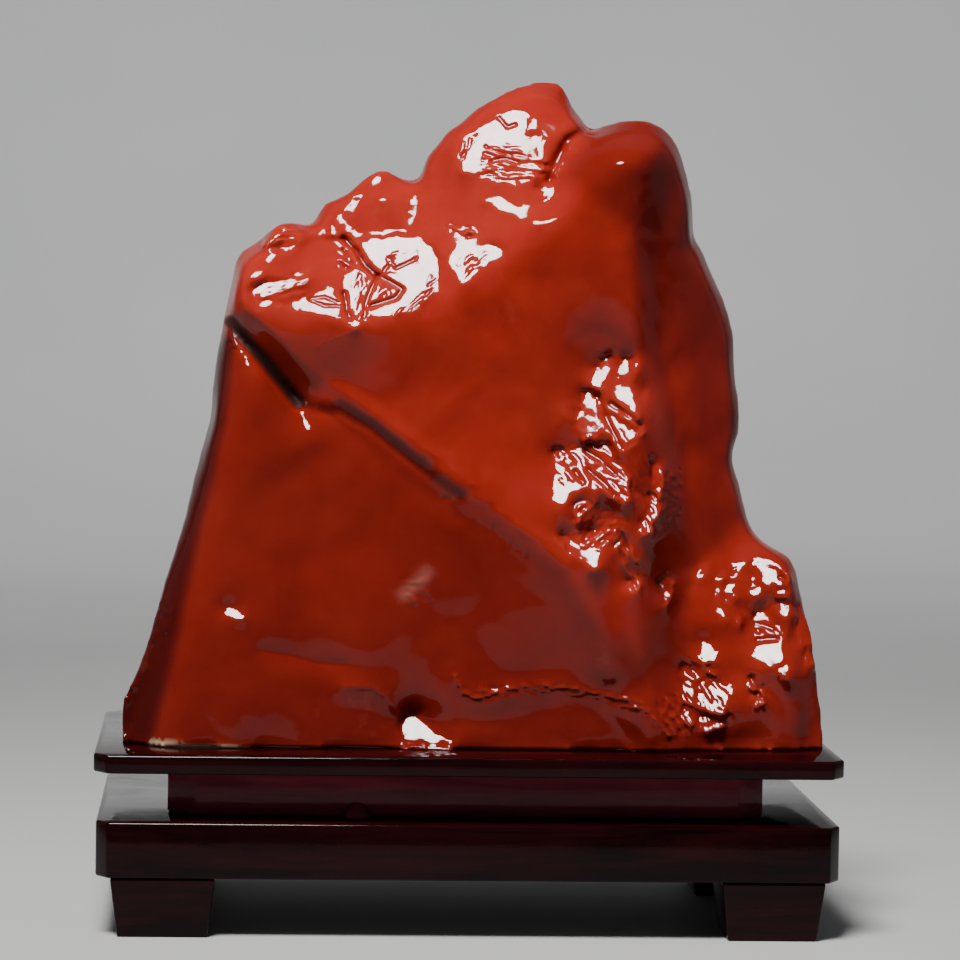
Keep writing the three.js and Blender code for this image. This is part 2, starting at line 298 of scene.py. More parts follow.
# The colours of the stone. A noise is its scale, detail and roughness. A spread is a noise's
# low and high, and what it becomes at each: the share of a colour, or the roughness.
REDS = (
    (0.30, (0.165, 0.0082, 0.0050)),
    (0.50, (0.228, 0.0128, 0.0080)),
    (0.74, (0.280, 0.0200, 0.0115)),
)
CRUST = (
    (0.30, (0.16, 0.07, 0.04)),
    (0.52, (0.28, 0.22, 0.17)),
    (0.75, (0.36, 0.32, 0.27)),
)
STREAK_RED = (0.33, 0.038, 0.015)
# Painted highlight: a lighter red laid on convex edges
EDGE_HIGHLIGHT_RED = (0.36, 0.046, 0.018)
# Painted shade: a dark red laid in hollows
HOLLOW_SHADE_RED = (0.07, 0.0028, 0.0012)
# Painted shade: a darker red along the crease, over some areas of the face, and on the back
SHADE_RED = (0.045, 0.0020, 0.0012)
HAZE_RED = (0.33, 0.07, 0.038)
CLOUD_PINK = (0.36, 0.15, 0.11)
# Painted shade: near black laid in the groove
GROOVE_SHADE = (0.014, 0.0028, 0.0016)
CHIP_CREAM = (0.40, 0.31, 0.21)
RED_NOISE = (24.0, 5.0, 0.6, 0.6)
STREAK_NOISE = (150.0, 4.0, 0.6)
HAZE_NOISE = (60.0, 4.0, 0.65)
CRUST_NOISE = (75.0, 5.0, 0.6)
STREAK_SPREAD = (0.5, 0.8, 0.0, 0.2)
EDGE_HIGHLIGHT_SPREAD = (0.54, 0.8, 0.0, 0.35)
HOLLOW_SHADE_SPREAD = (0.46, 0.2, 0.0, 0.35)
HAZE_SPREAD = (0.64, 0.8, 0.0, 0.2)
GLOSS_SPREAD = (0.0, 1.0, 0.045, 0.09)
GROOVE_SHARE = 0.9
DULL_ROUGHNESS = 0.65
STONE_BUMP = (0.25, 0.0006)
STONE_IOR = 1.32
GLOW = 0.15
GLOW_REACH = (0.005, 0.0010, 0.0004)


def polished_red_stone(polish):
    material, tree, shader, place = new_material("polished_red_stone")
    red = ramp(tree, mottle(tree, place, *RED_NOISE), *REDS)
    streak = mottle(tree, place, *STREAK_NOISE)
    red = blend(tree, spread(tree, streak, *STREAK_SPREAD), red, STREAK_RED)
    edge = painted(tree, "edge")
    # Painted highlight: lighter red on convex edges, by the curvature
    red = blend(tree, spread(tree, edge, *EDGE_HIGHLIGHT_SPREAD), red, EDGE_HIGHLIGHT_RED)
    # Painted shade: dark red in hollows, by the curvature
    red = blend(tree, spread(tree, edge, *HOLLOW_SHADE_SPREAD), red, HOLLOW_SHADE_RED)
    # Painted shade: the darker red along the crease, over the listed areas and on the back
    red = blend(tree, painted(tree, "painted_shade"), red, SHADE_RED)
    haze = mottle(tree, place, *HAZE_NOISE)
    red = blend(tree, spread(tree, haze, *HAZE_SPREAD), red, HAZE_RED)
    red = blend(tree, painted(tree, "cloud"), red, CLOUD_PINK)
    # The groove: painted shade, near black, in its colour, and a dull gloss
    seam = painted(tree, "seam")
    red = blend(tree, calculate(tree, "MULTIPLY", seam, GROOVE_SHARE), red, GROOVE_SHADE)
    red = blend(tree, painted(tree, "chip"), red, CHIP_CREAM)
    crust = ramp(tree, mottle(tree, place, *CRUST_NOISE), *CRUST)
    skin = painted(tree, "skin")
    red = blend(tree, skin, red, crust)
    feed(tree, shader.inputs["Base Color"], red)
    marks = use_group(tree, polish, Place=place, Scale=45.0)
    gloss = spread(tree, marks["Smears"], *GLOSS_SPREAD)
    unpolished = calculate(tree, "MAXIMUM", skin, seam)
    dull = calculate(tree, "MULTIPLY", unpolished, DULL_ROUGHNESS)
    feed(tree, shader.inputs["Roughness"], calculate(tree, "MAXIMUM", gloss, dull))
    feed(tree, shader.inputs["Normal"], bump(tree, marks["Waves"], *STONE_BUMP))
    shader.inputs["IOR"].default_value = STONE_IOR
    shader.inputs["Subsurface Weight"].default_value = GLOW
    shader.inputs["Subsurface Radius"].default_value = GLOW_REACH
    shader.inputs["Subsurface Scale"].default_value = 1.0
    return material


# Dark and light tones of the lacquered wood, and how its grain runs along the stand
WOOD_TONES = ((0.003, 0.0003, 0.0005), (0.019, 0.0014, 0.0022))
# Painted light: the waist's tones are a lighter, redder copy of the lacquered wood, for the light it
# catches beneath the plate
WAIST_LIT_TONES = ((0.10, 0.013, 0.022), (0.28, 0.033, 0.055))
GRAIN_STRETCH = (14, 150, 190)
GRAIN_STOPS = (0.35, 0.55, 0.75)
SMEAR_SPREAD = (0.0, 1.0, 0.0, 0.35)
LACQUER_SPREAD = (0.0, 1.0, 0.05, 0.13)
WOOD_BUMP = (0.35, 0.0005)
LACQUER_IOR = 1.2
LACQUER_COAT = 0.05
COAT_ROUGHNESS = 0.05


def lacquered_wood(name, grain, polish, dark, light):
    material, tree, shader, place = new_material(name)
    streaks = use_group(tree, grain, Place=place, Stretch=GRAIN_STRETCH)["Streaks"]
    marks = use_group(tree, polish, Place=place, Scale=38.0)
    middle = tuple((a + b) / 2 for a, b in zip(dark, light))
    color = ramp(tree, streaks, *zip(GRAIN_STOPS, (dark, middle, light)))
    color = blend(tree, spread(tree, marks["Smears"], *SMEAR_SPREAD), color, dark)
    feed(tree, shader.inputs["Base Color"], color)
    gloss = spread(tree, marks["Smears"], *LACQUER_SPREAD)
    feed(tree, shader.inputs["Roughness"], gloss)
    height = calculate(tree, "MULTIPLY_ADD", streaks, 0.3, marks["Waves"])
    feed(tree, shader.inputs["Normal"], bump(tree, height, *WOOD_BUMP))
    shader.inputs["IOR"].default_value = LACQUER_IOR
    shader.inputs["Coat Weight"].default_value = LACQUER_COAT
    shader.inputs["Coat Roughness"].default_value = COAT_ROUGHNESS
    return material


FLOOR_TONES = ((0.3, (0.33, 0.33, 0.33)), (0.7, (0.36, 0.36, 0.357)))
FLOOR_ROUGHNESS = 0.7


def pale_floor():
    material, tree, shader, place = new_material("pale_floor")
    feed(tree, shader.inputs["Base Color"], ramp(tree, mottle(tree, place, 3.0), *FLOOR_TONES))
    shader.inputs["Roughness"].default_value = FLOOR_ROUGHNESS
    return material


SWEEP_HALF_WIDTH = 2.5
SWEEP_FRONT = -0.5
SWEEP_BACK = 1.3
SWEEP_RADIUS = 0.7
SWEEP_TOP = 2.6


def put_floor():
    """A floor that sweeps up into a wall behind the stand."""
    bm = bmesh.new()
    front = [bm.verts.new((x, SWEEP_FRONT, 0)) for x in (-SWEEP_HALF_WIDTH, SWEEP_HALF_WIDTH)]
    edge = bm.edges.new(front)
    floor = bmesh.ops.extrude_edge_only(bm, edges=[edge])["geom"]
    back = [g for g in floor if isinstance(g, bmesh.types.BMVert)]
    bmesh.ops.translate(bm, vec=(0, SWEEP_BACK - SWEEP_FRONT, 0), verts=back)
    back_edge = [g for g in floor if isinstance(g, bmesh.types.BMEdge)]
    arc = bmesh.ops.spin(
        bm,
        geom=back + back_edge,
        cent=(0, SWEEP_BACK, SWEEP_RADIUS),
        axis=(1, 0, 0),
        angle=math.pi / 2,
        steps=24,
        use_merge=False,
    )["geom_last"]
    last_edge = [g for g in arc if isinstance(g, bmesh.types.BMEdge)]
    wall = bmesh.ops.extrude_edge_only(bm, edges=last_edge)["geom"]
    top = [g for g in wall if isinstance(g, bmesh.types.BMVert)]
    bmesh.ops.translate(bm, vec=(0, 0, SWEEP_TOP - SWEEP_RADIUS), verts=top)
    bmesh.ops.recalc_face_normals(bm, faces=bm.faces)
    sweep = new_object("floor", bm)
    smooth_shading(sweep)
    sweep.data.materials.append(pale_floor())


# The stand
EDGE_SEGMENTS = 4
SLAB_EASE = 0.8 * MM
FOOT_EASE = 0.7 * MM
PLATE_CORNER = (3.5 * MM, 5 * MM)
BOARD_CORNER = (3.25 * MM, 5 * MM)
WAIST_CORNER = (7.5 * MM, 7 * MM)
FOOT_TOP = 28
FOOT_SOLE = 24
DRIP_X = -30 * MM
DRIP_RADIUS = 3.8 * MM
DRIP_BED = 0.4 * MM
SHARP_FROM = math.radians(30)
DRIP_SHARP_FROM = math.radians(50)


def ease_edges(bm, offset):
    bmesh.ops.bevel(
        bm,
        geom=bm.edges[:],
        offset=offset,
        offset_type="OFFSET",
        affect="EDGES",
        segments=EDGE_SEGMENTS,
        profile=0.5,
        material=-1,
    )


def slab(name, node, low, high, corner, material):
    """A board with its four corners cut in plan and its edges rounded."""
    half_x, half_y = (high.x - low.x) / 2, (high.y - low.y) / 2
    cut_x, cut_y = half_x - corner[0], half_y - corner[1]
    half_plan = [(-cut_x, -half_y), (cut_x, -half_y), (half_x, -cut_y), (half_x, cut_y)]
    plan = half_plan + [(-x, -y) for x, y in half_plan]
    bm = bmesh.new()
    bottom = bm.faces.new([bm.verts.new((x, y, low.z)) for x, y in plan])
    risen = bmesh.ops.extrude_face_region(bm, geom=[bottom])["geom"]
    top = [g for g in risen if isinstance(g, bmesh.types.BMVert)]
    bmesh.ops.translate(bm, vec=(0, 0, high.z - low.z), verts=top)
    bmesh.ops.recalc_face_normals(bm, faces=bm.faces)
    ease_edges(bm, SLAB_EASE)
    middle = (low + high) / 2
    bmesh.ops.translate(bm, vec=(middle.x, middle.y, 0), verts=bm.verts)
    piece = new_object(name, bm)
    smooth_shading(piece, SHARP_FROM)
    finish_piece(piece, material, "lacquered_wood", node)


def foot(node, material):
    low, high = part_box(node)
    bm = bmesh.new()
    bmesh.ops.create_cube(bm, size=1)
    bmesh.ops.scale(bm, vec=high - low, verts=bm.verts)
    sole = [v for v in bm.verts if v.co.z < 0]
    taper = FOOT_SOLE / FOOT_TOP
    bmesh.ops.scale(bm, vec=(taper, taper, 1), verts=sole)
    ease_edges(bm, FOOT_EASE)
    bmesh.ops.translate(bm, vec=(low + high) / 2, verts=bm.verts)
    piece = new_object(node + "_lacquered", bm)
    smooth_shading(piece, SHARP_FROM)
    finish_piece(piece, material, "lacquered_wood", node)


def lacquer_drip(material, waist_front):
    """The drip that set against the foot of the waist."""
    bm = bmesh.new()
    bmesh.ops.create_uvsphere(bm, u_segments=40, v_segments=24, radius=DRIP_RADIUS)
    for side in ((0, 0, -1), (0, 1, 0)):
        bmesh.ops.bisect_plane(
            bm,
            geom=bm.verts[:] + bm.edges[:] + bm.faces[:],
            plane_co=(0, 0, 0) if side[2] else (0, DRIP_BED, 0),
            plane_no=side,
            clear_outer=True,
        )
        bmesh.ops.holes_fill(bm, edges=bm.edges)
    bmesh.ops.recalc_face_normals(bm, faces=bm.faces)
    place = (DRIP_X, waist_front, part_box("waist")[0].z)
    bmesh.ops.translate(bm, vec=place, verts=bm.verts)
    piece = new_object("lacquer_drip", bm)
    smooth_shading(piece, DRIP_SHARP_FROM)
    finish_piece(piece, material, "lacquered_wood")


def build_stand(grain, polish):
    wood = lacquered_wood("lacquered_wood", grain, polish, *WOOD_TONES)
    # The waist and its drip take this lighter copy of the wood, painted light
    lit_waist_wood = lacquered_wood("lacquered_waist_lit", grain, polish, *WAIST_LIT_TONES)
    slab("plate_lacquered", "top_plate", *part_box("top_plate"), PLATE_CORNER, wood)
    slab("board_lacquered", "lower_board", *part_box("lower_board"), BOARD_CORNER, wood)
    low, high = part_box("waist")
    waist_front = -high.y
    low.y = waist_front
    slab("waist_lacquered", "waist", low, high, WAIST_CORNER, lit_waist_wood)
    for node in ("foot_front_left", "foot_front_right", "foot_back_left", "foot_back_right"):
        foot(node, wood)
    lacquer_drip(lit_waist_wood, waist_front)


# Marks on the stone's face. Their outlines and lines are in pixels of the photograph.
# Facets lie at the slope that mirrors the softbox. Each outline runs around its facet.
FACETS = {
    "shoulder": [(362, 245), (370, 241), (385, 238), (409, 237), (422, 241), (431, 247), (437, 258),
                 (439, 272), (436, 286), (427, 299), (413, 309), (398, 315), (375, 316), (366, 313),
                 (366, 306), (370, 292), (374, 282), (372, 272), (366, 261)],
    "shoulder_left": [(363, 267), (373, 276), (370, 286), (365, 301), (365, 311), (359, 327),
                      (351, 324), (342, 317), (351, 313), (350, 299), (345, 292), (344, 280), (354, 272)],
    "shoulder_right": [(447, 254), (460, 257), (476, 252), (487, 244), (497, 246), (503, 252),
                       (492, 262), (480, 270), (466, 281), (461, 284), (458, 275), (450, 264)],
    "streak_upper": [(252, 292), (259, 285), (277, 282), (295, 279), (309, 279), (305, 283),
                     (288, 286), (273, 290), (263, 297), (256, 301)],
    "streak_lower": [(253, 301), (269, 301), (281, 305), (295, 301), (309, 297), (318, 293),
                     (326, 290), (333, 294), (340, 306), (342, 315), (351, 323), (343, 320),
                     (322, 313), (302, 309), (277, 307), (257, 306)],
    "streak_end": [(294, 274), (302, 270), (312, 268), (310, 272), (300, 275)],
    "knob": [(265, 245), (271, 238), (281, 228), (288, 228), (295, 234), (299, 241), (297, 245),
             (283, 247)],
    "lobe": [(456, 157), (460, 142), (476, 130), (493, 121), (497, 116), (515, 111), (525, 112),
             (527, 125), (521, 133), (522, 148), (524, 157), (512, 157), (493, 158), (490, 164),
             (478, 172), (461, 171), (465, 160), (459, 160)],
    "lobe_low": [(483, 177), (497, 171), (518, 167), (526, 171), (512, 179), (498, 182)],
    "lobe_right": [(531, 137), (538, 136), (542, 145), (544, 162), (539, 155), (535, 143)],
    "lobe_foot": [(526, 170), (535, 165), (542, 170), (533, 177)],
    "lobe_end": [(545, 166), (557, 167), (563, 172), (552, 173)],
    "upper_chip": [(536, 187), (546, 185), (556, 187), (557, 194), (551, 200), (541, 195)],
    "lower_chip": [(486, 201), (500, 196), (511, 204), (523, 216), (508, 211), (495, 206)],
    "prong_left": [(612, 354), (607, 358), (599, 369), (593, 378), (594, 385), (599, 388),
                   (603, 390), (605, 381), (607, 374), (610, 366)],
    "prong_low": [(588, 392), (585, 402), (580, 417), (578, 428), (582, 435), (588, 438),
                  (595, 438), (594, 429), (590, 420), (589, 411), (595, 405), (594, 398)],
    "prong_right": [(626, 357), (629, 360), (631, 370), (629, 383), (635, 401), (637, 418),
                    (631, 413), (624, 408), (619, 402), (619, 393), (621, 381), (622, 370)],
    "sliver": [(605, 417), (615, 420), (626, 427), (633, 433), (640, 431), (633, 438), (627, 445),
               (621, 450), (615, 443), (609, 429)],
    "ledge": [(556, 449), (554, 458), (558, 469), (554, 483), (555, 495), (561, 504), (567, 499),
              (569, 492), (577, 488), (585, 485), (594, 488), (603, 488), (611, 495), (619, 503),
              (623, 499), (624, 477), (619, 465), (611, 454), (608, 445), (597, 444), (585, 445),
              (576, 449), (567, 452)],
    "cup_inside": [(574, 504), (583, 499), (588, 501), (585, 508), (576, 519), (573, 513)],
    "crescent": [(560, 533), (565, 534), (572, 542), (579, 550), (588, 552), (599, 548), (595, 565),
                 (585, 561), (574, 554), (567, 545)],
    "chain_top": [(651, 464), (656, 467), (659, 483), (657, 494), (654, 490), (655, 479), (652, 471)],
    "chain_low": [(648, 496), (656, 500), (657, 510), (651, 515), (647, 530), (638, 531), (638, 522),
                  (644, 517), (647, 509)],
    "trail_end": [(627, 579), (633, 577), (637, 583), (632, 591)],
    "trail_side": [(661, 579), (668, 577), (671, 590), (665, 603), (660, 590)],
    "block_top": [(753, 565), (759, 563), (767, 569), (774, 573), (774, 580), (769, 586), (762, 580),
                  (756, 573)],
    "block_ring": [(775, 575), (779, 571), (785, 571), (789, 576), (788, 582), (783, 585), (777, 582)],
    "block_bar": [(777, 591), (788, 590), (787, 594), (778, 595)],
    "block_bead": [(779, 606), (785, 604), (790, 607), (789, 614), (785, 617), (779, 613)],
    "block_dot": [(748, 591), (759, 585), (762, 590), (759, 597), (753, 597)],
    "block_arc": [(747, 562), (740, 564), (733, 574), (729, 585), (726, 597), (727, 605), (731, 614),
                  (738, 624), (737, 618), (731, 608), (731, 597), (735, 588), (740, 578), (742, 568)],
    "block_outer_arc": [(721, 571), (718, 580), (717, 590), (717, 604), (719, 611), (727, 621),
                        (722, 611), (719, 603), (720, 590), (722, 580)],
    "block_tongue": [(755, 615), (766, 613), (771, 623), (780, 625), (781, 642), (780, 658),
                     (773, 668), (764, 663), (757, 649), (754, 633)],
    "block_toe": [(774, 668), (785, 661), (783, 674), (777, 671)],
    "block_edge": [(798, 608), (802, 613), (806, 625), (807, 640), (801, 642), (798, 630), (799, 619)],
    "block_edge_low": [(803, 651), (807, 655), (807, 663), (803, 662)],
    "foot_tab": [(703, 642), (710, 643), (717, 654), (715, 661), (700, 660), (702, 653)],
    "foot_wedge": [(706, 667), (715, 671), (708, 673)],
    "foot_squiggle": [(684, 666), (692, 672), (701, 679), (698, 681), (688, 675)],
    "foot_star": [(702, 682), (708, 678), (712, 687), (721, 693), (724, 700), (722, 711), (714, 709),
                  (700, 706), (698, 693)],
    "foot_ray": [(712, 682), (725, 684), (731, 687), (729, 692), (718, 689)],
    "foot_side": [(684, 682), (689, 681), (692, 692), (691, 703), (686, 699), (679, 688)],
    "foot_side_low": [(683, 706), (687, 710), (688, 722), (684, 718)],
    "foot_low": [(698, 716), (710, 716), (707, 723), (702, 727)],
    "foot_low_right": [(711, 719), (720, 719), (719, 723), (712, 723)],
    "foot_right": [(748, 677), (752, 680), (752, 686), (749, 684)],
    "foot_right_low": [(749, 691), (754, 691), (760, 702), (754, 700)],
    "bottom_patch": [(402, 722), (412, 717), (425, 724), (437, 735), (450, 740), (448, 748), (404, 748)],
    "left_oval": [(222, 613), (228, 608), (238, 611), (246, 618), (238, 619), (228, 617)],
    "hump_streak": [(343, 212), (350, 203), (361, 193), (364, 195), (353, 205), (345, 213)],
    "hump_streak_low": [(328, 232), (333, 225), (336, 227), (331, 234)],
}

# Places between the facets that keep their own slope, so that they don't mirror the softbox
PLAIN = {
    "above_streaks": [(252, 252), (300, 248), (332, 238), (348, 262), (338, 284), (316, 266), (262, 280)],
    "left_of_knob": [(240, 244), (258, 236), (262, 262), (246, 280)],
    "below_hump": [(322, 208), (344, 216), (372, 224), (374, 236), (336, 236), (320, 226)],
    "hump_top": [(362, 168), (424, 176), (422, 210), (370, 206), (352, 190)],
    "lobe_rim": [(528, 90), (562, 98), (556, 132), (530, 108)],
    "under_chips": [(526, 206), (562, 200), (566, 232), (526, 232)],
}
PLAIN_EDGE = (-1.0, 3.0)

# Rough places: outline, the ripples' length and width in pixels, lean in degrees, and steepness
ROUGH = {
    "shoulder_specks": ([(384, 253), (400, 248), (419, 254), (419, 263), (397, 273), (384, 277)],
                        3, 1.6, -25, 0.16),
    "shoulder_wedge": ([(385, 281), (397, 289), (391, 297), (374, 302), (377, 289)], 2.5, 1.6, -50, 0.2),
    "shoulder_left": ([(360, 270), (372, 279), (366, 300), (366, 316), (358, 326), (350, 318),
                       (354, 300), (352, 284)], 3.5, 1.6, -65, 0.2),
    "shoulder_hair": ([(437, 280), (430, 300), (412, 312), (392, 319), (394, 311), (412, 302),
                       (425, 288), (430, 270)], 3.5, 1.2, -45, 0.4),
    "right_specks": ([(456, 258), (476, 254), (494, 250), (484, 266), (466, 280), (460, 272)],
                     3, 1.5, -40, 0.2),
    "upper_shards": ([(336, 245), (350, 245), (358, 262), (350, 270), (335, 271), (340, 258)],
                     3, 1.5, 30, 0.6),
    "streaks": ([(256, 292), (285, 284), (310, 280), (300, 292), (270, 300), (256, 303)],
                4, 1.3, -12, 0.16),
    "lobe": ([(484, 148), (505, 142), (524, 152), (545, 160), (562, 172), (540, 180), (500, 182),
              (478, 174)], 4.5, 1.5, 8, 0.3),
    "lobe_left": ([(458, 140), (470, 133), (476, 140), (466, 158), (457, 158)], 3, 1.5, -60, 0.25),
    "saddle_flecks": ([(446, 225), (462, 226), (478, 232), (470, 238), (452, 234)], 3, 1.5, 15, 0.6),
    "prong_foot": ([(606, 414), (640, 420), (648, 432), (630, 450), (615, 444)], 3.2, 1.6, 40, 0.12),
    "ledge": ([(560, 446), (600, 442), (614, 452), (627, 478), (623, 502), (606, 492), (585, 487),
               (566, 478)], 4.5, 1.9, 42, 0.22),
    "ledge_left": ([(556, 462), (570, 466), (566, 492), (556, 484)], 3, 1.8, 30, 0.15),
    "cup": ([(573, 500), (600, 500), (622, 520), (624, 545), (600, 548), (580, 544), (572, 525)],
            3, 1.7, -35, 0.38),
    "chain": ([(634, 452), (660, 455), (664, 490), (659, 530), (634, 534), (640, 505), (630, 480)],
              3.2, 1.5, 65, 0.2),
    "specks_right": ([(662, 462), (682, 466), (680, 515), (664, 520)], 2.4, 1.4, 60, 0.35),
    "trail": ([(606, 526), (622, 530), (640, 562), (642, 590), (628, 592), (620, 560)],
              4, 1.6, 65, 0.5),
    "trail_side": ([(656, 575), (674, 577), (672, 604), (658, 604)], 3, 1.5, 60, 0.25),
    "tongue": ([(754, 618), (778, 622), (778, 640), (756, 642)], 4, 1.7, 18, 0.2),
    "foot": ([(674, 664), (700, 660), (726, 676), (734, 694), (724, 728), (694, 730), (676, 706)],
             3.4, 1.7, 55, 0.17),
    "foot_left_specks": ([(656, 700), (682, 690), (690, 730), (664, 738)], 2.4, 1.4, 55, 0.5),
    "foot_right": ([(744, 672), (764, 684), (766, 712), (746, 706)], 2.6, 1.5, 50, 0.5),
    "foot_step": ([(455, 672), (470, 690), (500, 684), (560, 682), (620, 692), (656, 712), (668, 728),
                   (640, 712), (600, 700), (540, 692), (480, 702), (458, 692)], 3, 1.5, 10, 0.35),
    "left_edge_specks": ([(156, 596), (176, 596), (166, 650), (146, 650)], 2.6, 1.5, 60, 0.35),
    "groove_specks": ([(226, 336), (248, 338), (252, 352), (230, 352)], 2.6, 1.5, 20, 0.4),
    "pale_cloud": ([(398, 578), (430, 572), (432, 604), (402, 606)], 2.6, 1.6, 10, 0.25),
}

# Grooves and ridges: points, half width in pixels, and rise towards the viewer in millimetres
LINES = {
    "groove": ([(231, 322), (262, 358), (298, 402)], 7, -1.6),
    "crease": ([(342, 408), (372, 426), (398, 447), (428, 471)], 6, -0.6),
    "crease_fill": ([(334, 406), (381, 432), (450, 487), (560, 562)], 15, 1.1),
    "shoulder_crack": ([(344, 238), (357, 252), (365, 265), (377, 276)], 3.5, -2.0),
    "shoulder_crack_low": ([(378, 276), (371, 290), (366, 304), (364, 318)], 2, -0.7),
    "shoulder_wedge": ([(383, 278), (402, 289), (396, 298), (371, 306)], 2.4, -0.9),
    "shoulder_crack_up": ([(382, 274), (391, 262), (396, 268), (414, 260)], 1.3, -0.4),
    "left_bar": ([(344, 294), (346, 310), (350, 317)], 3, -0.9),
    "lens_upper": ([(309, 299), (325, 297), (339, 303)], 1.2, -0.35),
    "lens_lower": ([(310, 300), (325, 306), (341, 306)], 1.2, -0.35),
    "lobe_crack": ([(499, 117), (508, 127), (516, 124)], 1.4, -0.4),
    "lobe_gap": ([(492, 161), (505, 158), (519, 162)], 2.2, -0.7),
    "lobe_fold": ([(486, 146), (496, 151), (512, 155)], 1.2, -0.35),
    "notch": ([(585, 130), (568, 140), (558, 158), (550, 180)], 5, -1.6),
    "scratch": ([(313, 349), (335, 338), (357, 331)], 1.2, 0.10),
    "dark_crease": ([(262, 650), (290, 655), (318, 663), (345, 664)], 4.5, -0.3),
    "low_ridge": ([(345, 686), (372, 687), (386, 696), (400, 718)], 4, 0.4),
    "foot_step": ([(455, 676), (462, 692), (476, 698), (500, 690), (530, 684), (560, 686),
                   (600, 693), (640, 702), (652, 716), (665, 729)], 2.5, 0.32),
    "tongue_gap": ([(757, 640), (776, 638)], 2.6, -0.6),
    "tongue_fold": ([(756, 624), (774, 629)], 1.4, -0.35),
    "ledge_stripe": ([(588, 470), (602, 483), (612, 494)], 2.4, -0.7),
    "ledge_stripe_low": ([(575, 471), (583, 482)], 2.2, -0.6),
    "ledge_stripe_top": ([(586, 451), (600, 460), (613, 473)], 2.4, -0.7),
    "prong_band": ([(599, 394), (608, 420), (620, 448)], 3, -0.9),
    "prong_rim": ([(602, 404), (607, 422), (621, 451)], 1.2, 0.3),
    "prong_shadow": ([(612, 404), (626, 413), (640, 424)], 3.2, -1.1),
}

# Pits: place and half width in pixels, and rise in millimetres
PITS = [
    (606, 512, 13, -2.6),
    (590, 528, 9, -1.6),
    (622, 540, 8, -1.2),
    (752, 578, 8, -1.0),
    (770, 602, 7, -1.2),
    (742, 606, 7, -0.8),
    (738, 668, 9, -0.7),
    (696, 670, 6, -0.8),
    (694, 712, 5, -0.7),
    (782, 578, 2.4, -0.5),
]

# How the marks are laid on, in pixels of the photograph. Slopes are the face's rise towards
# the viewer for each pixel across or down. A pair is where a soft edge starts and ends. Ripples
# are given by length, width and lean, and RIPPLE_RANGE widths is about their longest wave.
RAGGED_SIZE = 3
RAGGEDNESS = 0.45
MASK_MARGIN = 10
FACET_EDGE = (-1.9, 0.1)
ROUGH_EDGE = (-2.0, 3.0)
FACET_RIPPLES = (4, 3, -30)
RIPPLE_OF_FACETS = 0.035
RIPPLE_RANGE = 3
LINE_REACH = 3
SPOT_LENGTH = 0.1

# How the face is measured: how widely its slopes are blurred, and how many of its vertices
# must lie near a pixel for it to count
SPREAD_OF_BASE = 4.0
SEEN_SHARE = (0.02, 0.1)
LEAST_SHARE = 1e-4

# How the face settles around the facets: how far a change reaches, the least slopes by which
# it keeps away from mirroring the softbox and the floor, and how it is left free at the groove
REACH_OF_CHANGE = 110.0
SETTLING_ROUNDS = 36
CALM_MARGIN = (-9.0, -5.0)
CALM_TURN = 0.3
LEAST_TURN = 0.03
LEAST_LEAN = -0.02
LEAN_EDGE = 0.1
MOST_LEANING = 0.4
GROOVE_REACH = (18, 40)
SPREAD_OF_BACK = 20.0


def photo_place(points):
    """Where points in metres are seen in the photograph, in its pixels, and how far away."""
    right, up, ahead = (np.array(axis) for axis in camera_axes())
    seen = points - np.array(CAMERA_PLACE)
    focal = CAMERA_LENS / CAMERA_SENSOR * PHOTO_SIZE
    away = seen @ ahead
    half = PHOTO_SIZE / 2
    place = np.column_stack((seen @ right, -(seen @ up))) * (focal / away)[:, None] + half
    return place, away / focal


def soft_step(value, low, high):
    share = np.clip((value - low) / (high - low), 0, 1)
    return share * share * (3 - 2 * share)


def line_distance(points, at):
    nearest = np.full(len(at), np.inf)
    for first, last in zip(points, points[1:]):
        start = np.array(first, float)
        run = np.array(last, float) - start
        share = np.clip((at - start) @ run / (run @ run), 0, 1)
        nearest = np.minimum(nearest, np.linalg.norm(at - start - share[:, None] * run, axis=1))
    return nearest


def reach_inside(outline, at):
    """How far each place is inside an outline, negative outside."""
    inside = np.zeros(len(at), bool)
    closed = outline + outline[:1]
    for (ax, ay), (bx, by) in zip(closed, closed[1:]):
        if ay == by:
            continue
        crosses = (at[:, 1] < ay) != (at[:, 1] < by)
        inside ^= crosses & (at[:, 0] < (bx - ax) * (at[:, 1] - ay) / (by - ay) + ax)
    away = line_distance(closed, at)
    return np.where(inside, away, -away)


# How a grid's neighbours differ, for each wave that the grid can hold
WAVES_ACROSS = 2 * np.pi * np.fft.rfftfreq(PHOTO_SIZE)[None, :]
WAVES_DOWN = 2 * np.pi * np.fft.fftfreq(PHOTO_SIZE)[:, None]
STEP_ACROSS = np.exp(1j * WAVES_ACROSS) - 1
STEP_DOWN = np.exp(1j * WAVES_DOWN) - 1


def filtered(grid, response):
    return np.fft.irfft2(np.fft.rfft2(grid) * response, s=grid.shape)


def blur(width):
    return np.exp(-(WAVES_ACROSS**2 + WAVES_DOWN**2) * width**2 / 2)


def grid_slopes(grid):
    return np.stack((np.roll(grid, -1, 1) - grid, np.roll(grid, -1, 0) - grid))


def ripples(rng, length, width, lean):
    """Drawn-out random ripples, with a mean slope of 1."""
    lean = math.radians(lean)
    along = WAVES_ACROSS * math.cos(lean) + WAVES_DOWN * math.sin(lean)
    across = WAVES_DOWN * math.cos(lean) - WAVES_ACROSS * math.sin(lean)
    response = np.exp(-((along * length) ** 2 + (across * width) ** 2) / 2)
    response = response * (1 - np.exp(-(along**2 + across**2) * (RIPPLE_RANGE * width) ** 2 / 2))
    grid = filtered(rng.standard_normal((PHOTO_SIZE, PHOTO_SIZE)), response)
    return grid / np.sqrt((grid_slopes(grid) ** 2).sum(0).mean())


